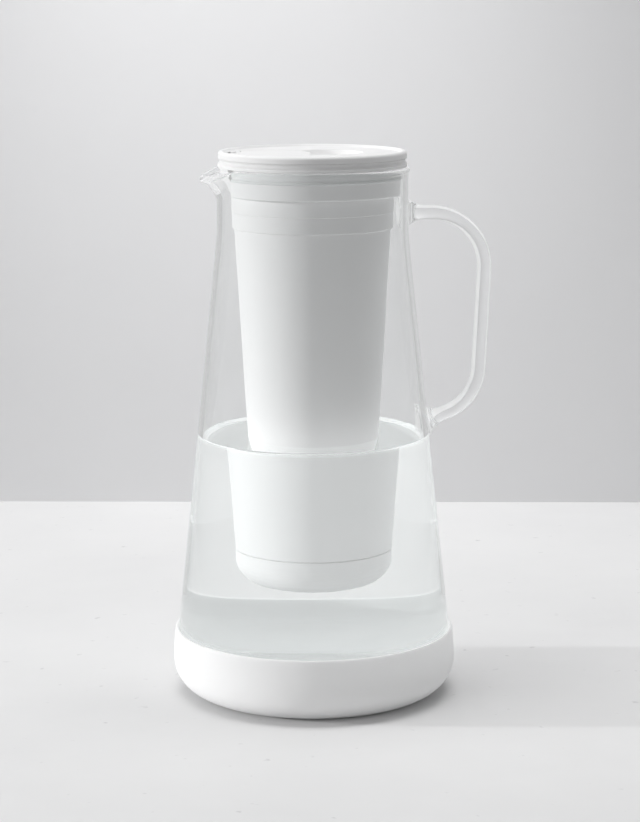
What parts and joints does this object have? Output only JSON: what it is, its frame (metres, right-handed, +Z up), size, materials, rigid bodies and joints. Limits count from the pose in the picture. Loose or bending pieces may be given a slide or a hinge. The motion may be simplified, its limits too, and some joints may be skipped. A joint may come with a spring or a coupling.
{
  "type": "water filter pitcher",
  "caption": "Glass water pitcher with fused rod handle and spout, soft foot boot, hanging filter reservoir with cartridge and capsule, and a lid with a flip-up hatch.",
  "frame": {"origin": "centre of the base, on the surface that it stands on, on the axis of the glass vessel", "axes": "+Z up along the vessel's axis, +X towards the handle, -X towards the spout"},
  "size_m": [0.1606, 0.141, 0.2701],
  "materials": {
    "glass": "clear polished borosilicate glass",
    "white_silicone": "matt white silicone",
    "white_plastic": "satin white moulding",
    "seal_silicone": "translucent white silicone",
    "cartridge_plastic": "satin pale grey moulding",
    "hollow_fibre": "matt ivory fibre",
    "potting_resin": "cast amber resin",
    "o_ring": "black moulded rubber",
    "filter_felt": "white non-woven felt",
    "activated_carbon": "black grains",
    "exchange_resin": "amber beads",
    "steel": "ground stainless steel"
  },
  "bodies": {
    "pitcher": {"glass_body": "glass", "glass_handle": "glass", "silicone_boot": "white_silicone"},
    "reservoir": {"reservoir_cup": "white_plastic", "neck_seal": "seal_silicone"},
    "membrane": {"membrane_housing": "cartridge_plastic", "membrane_cap": "cartridge_plastic", "fibre_bundle": "hollow_fibre", "potting_disc": "potting_resin", "membrane_seal": "o_ring"},
    "capsule": {"capsule_cup": "white_plastic", "capsule_cover": "cartridge_plastic", "inlet_pad": "filter_felt", "carbon_bed": "activated_carbon", "divider_pad": "filter_felt", "resin_bed": "exchange_resin", "outlet_pad": "filter_felt", "capsule_seal": "o_ring"},
    "lid": {"lid_base": "white_plastic", "lid_cover": "white_plastic", "lid_seal": "seal_silicone", "hinge_pin": "steel"},
    "flap": {"flap": "white_plastic"}
  },
  "joints": [
    {"name": "reservoir_lift", "type": "slide", "parent": "pitcher", "child": "reservoir", "axis": [0, 0, 1], "range_m": [0, 0.22]},
    {"name": "lid_lift", "type": "slide", "parent": "reservoir", "child": "lid", "axis": [0, 0, 1], "range_m": [0, 0.03]},
    {"name": "flap_hinge", "type": "hinge", "parent": "lid", "child": "flap", "pos_m": [-0.038, 0, 0.2674], "axis": [0, -1, 0], "range_deg": [0, 100]},
    {"name": "membrane_pull", "type": "slide", "parent": "reservoir", "child": "membrane", "axis": [0, 0, 1], "range_m": [0, 0.045]},
    {"name": "capsule_twist", "type": "hinge", "parent": "reservoir", "child": "capsule", "pos_m": [0, 0, 0.08], "axis": [0, 0, 1], "range_deg": [0, 35]}
  ]
}
